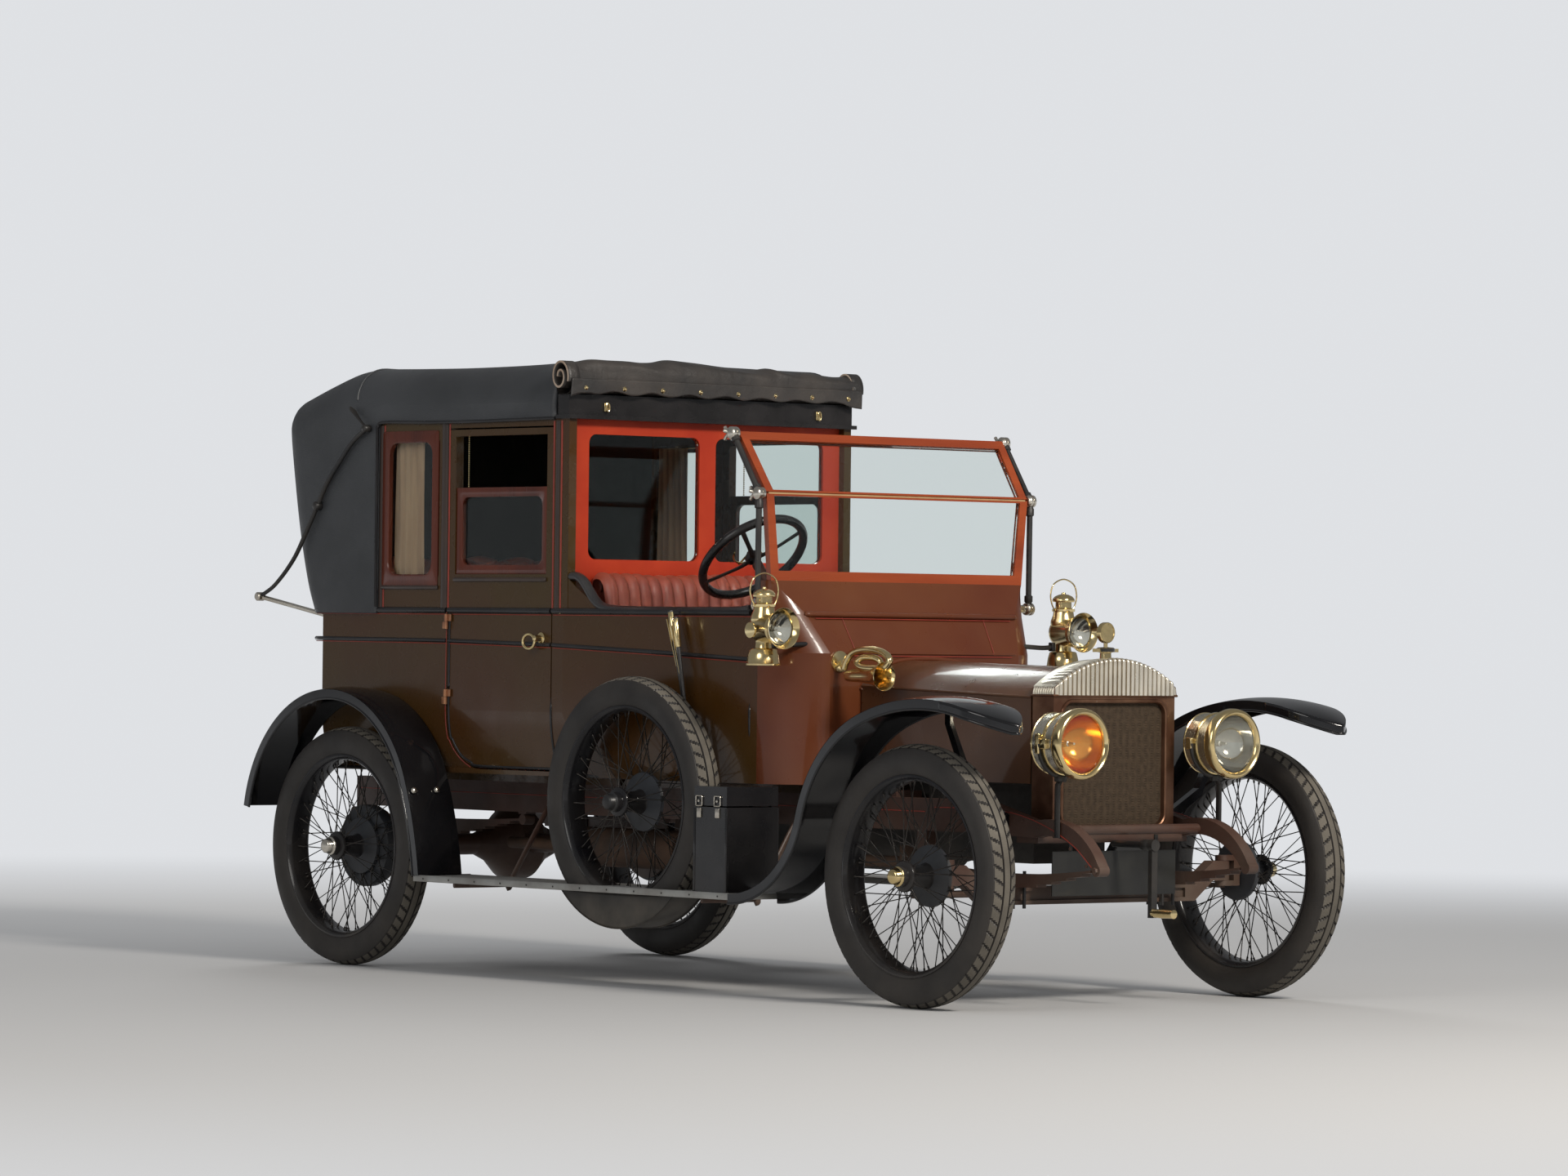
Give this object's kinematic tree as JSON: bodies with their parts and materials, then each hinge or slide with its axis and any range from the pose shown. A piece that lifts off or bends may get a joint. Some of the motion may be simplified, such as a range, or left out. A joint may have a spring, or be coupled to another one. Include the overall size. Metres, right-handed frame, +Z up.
{
  "type": "brass era car",
  "caption": "Early motor car with a closed leather-hooded rear body, open driver's seat, brass lamps, upright radiator, wire wheels, swept mudguards and a spare wheel on its right board.",
  "frame": {"origin": "on the ground at the middle of the bounding box, on the centre line, 1467.5 mm ahead of the rear axle", "axes": "+X towards the front, +Y to the car's left, +Z up"},
  "size_m": [4.345, 1.772, 2.2217],
  "materials": {
    "tyre_rubber": "dusty grey-brown, matt",
    "wheel_enamel": "black enamel, satin",
    "chassis_paint": "brown coach paint, satin",
    "engine_iron": "bare and oily",
    "exhaust_iron": "sooted",
    "coach_maroon": "maroon-brown coach paint, gloss",
    "vermilion": "vermilion coach paint, gloss",
    "mahogany": "varnished orange-red mahogany",
    "clear_glass": "clear, polished",
    "hood_leather": "black hood leather, satin",
    "seat_leather": "red-brown buttoned leather",
    "lamp_brass": "polished",
    "radiator_brass": "polished, coppery",
    "radiator_tubes": "black",
    "black_iron": "black enamel, gloss",
    "board_wood": "oiled board",
    "helm_wood": "dark polished rim"
  },
  "bodies": {
    "chassis": {"body_irons": "black_iron", "bonnet_right": "coach_maroon", "canopy_roll": "hood_leather", "division_frame": "vermilion", "engine": "engine_iron", "exhaust": "exhaust_iron", "filler_cap": "lamp_brass", "fixed_glass": "clear_glass", "frame": "chassis_paint", "front_axle": "chassis_paint", "front_body": "coach_maroon", "front_seat": "seat_leather", "hand_levers": "black_iron", "header_board": "coach_maroon", "headlamps": "lamp_brass", "hood": "hood_leather", "horn": "lamp_brass", "lamp_glass": "clear_glass", "mudguards_front": "black_iron", "mudguards_rear": "black_iron", "number_plate": "black_iron", "radiator_core": "radiator_tubes", "radiator_shell": "radiator_brass", "rear_axle": "chassis_paint", "rear_body": "coach_maroon", "rear_seat": "seat_leather", "running_boards": "board_wood", "scuttle": "coach_maroon", "side_lamps": "lamp_brass", "spare_tyre": "tyre_rubber", "spare_wheel": "wheel_enamel", "springs": "chassis_paint", "starting_handle": "black_iron", "steering_column": "chassis_paint", "toolbox": "black_iron", "windscreen_frame": "mahogany"},
    "wheel_front_left": {"wheel_front_left": "wheel_enamel", "tyre_front_left": "tyre_rubber"},
    "wheel_front_right": {"wheel_front_right": "wheel_enamel", "tyre_front_right": "tyre_rubber"},
    "wheel_rear_left": {"wheel_rear_left": "wheel_enamel", "tyre_rear_left": "tyre_rubber"},
    "wheel_rear_right": {"wheel_rear_right": "wheel_enamel", "tyre_rear_right": "tyre_rubber"},
    "knuckle_left": {"knuckle_left": "chassis_paint"},
    "knuckle_right": {"knuckle_right": "chassis_paint"},
    "track_rod": {"track_rod": "chassis_paint"},
    "steering_wheel": {"steering_wheel": "helm_wood"},
    "door_rear_left": {"door_rear_left": "coach_maroon", "door_glass_left": "clear_glass"},
    "door_rear_right": {"door_rear_right": "coach_maroon", "door_glass_right": "clear_glass"},
    "door_front_left": {"door_front_left": "coach_maroon"},
    "bonnet_top_left": {"bonnet_top_left": "coach_maroon"},
    "bonnet_side_left": {"bonnet_side_left": "coach_maroon"},
    "toolbox_lid": {"toolbox_lid": "black_iron"}
  },
  "joints": [
    {"name": "steer_right", "type": "hinge", "parent": "chassis", "child": "knuckle_right", "pos_m": [1.7025, -0.64, 0.398], "axis": [0, 0, 1], "range_deg": [-35, 35]},
    {"name": "steer_left", "type": "hinge", "parent": "chassis", "child": "knuckle_left", "pos_m": [1.7025, 0.64, 0.398], "axis": [0, 0, 1], "range_deg": [-36, 36]},
    {"name": "track_rod_pin", "type": "hinge", "parent": "knuckle_right", "child": "track_rod", "pos_m": [1.5525, -0.64, 0.372], "axis": [0, 0, 1], "range_deg": [-36, 36]},
    {"name": "helm_turn", "type": "hinge", "parent": "chassis", "child": "steering_wheel", "pos_m": [0.2255, -0.26, 1.512], "axis": [0.682, 0, -0.7314], "range_deg": [-285, 285]},
    {"name": "roll_front_left", "type": "hinge", "parent": "knuckle_left", "child": "wheel_front_left", "pos_m": [1.7025, 0.764, 0.44], "axis": [0, 1, 0], "continuous": true},
    {"name": "roll_front_right", "type": "hinge", "parent": "knuckle_right", "child": "wheel_front_right", "pos_m": [1.7025, -0.764, 0.44], "axis": [0, 1, 0], "continuous": true},
    {"name": "roll_rear_left", "type": "hinge", "parent": "chassis", "child": "wheel_rear_left", "pos_m": [-1.4675, 0.764, 0.44], "axis": [0, 1, 0], "continuous": true},
    {"name": "roll_rear_right", "type": "hinge", "parent": "chassis", "child": "wheel_rear_right", "pos_m": [-1.4675, -0.764, 0.44], "axis": [0, 1, 0], "continuous": true},
    {"name": "rear_door_left_swing", "type": "hinge", "parent": "chassis", "child": "door_rear_left", "pos_m": [-1.0205, 0.674, 1.13], "axis": [0, 0, 1], "range_deg": [0, 75]},
    {"name": "rear_door_right_swing", "type": "hinge", "parent": "chassis", "child": "door_rear_right", "pos_m": [-1.0205, -0.674, 1.13], "axis": [0, 0, -1], "range_deg": [0, 75]},
    {"name": "front_door_left_swing", "type": "hinge", "parent": "chassis", "child": "door_front_left", "pos_m": [0.6355, 0.61075, 1.03], "axis": [0, 0, -1], "range_deg": [0, 75]},
    {"name": "bonnet_lift", "type": "hinge", "parent": "chassis", "child": "bonnet_top_left", "pos_m": [0.8685, 0, 1.148], "axis": [0.9998, 0, -0.0212], "range_deg": [0, 70]},
    {"name": "bonnet_side_swing", "type": "hinge", "parent": "bonnet_top_left", "child": "bonnet_side_left", "pos_m": [0.8685, 0.298, 1.0625], "axis": [0.9993, -0.0212, -0.0306], "range_deg": [0, 90]},
    {"name": "lid_lift", "type": "hinge", "parent": "chassis", "child": "toolbox_lid", "pos_m": [0.7185, -0.613, 0.708], "axis": [-1, 0, 0], "range_deg": [0, 80]}
  ],
  "couplings": [
    {"joint": "steer_left", "follows": "steer_right", "ratio": 1},
    {"joint": "track_rod_pin", "follows": "steer_right", "ratio": -1},
    {"joint": "helm_turn", "follows": "steer_right", "ratio": -8}
  ]
}
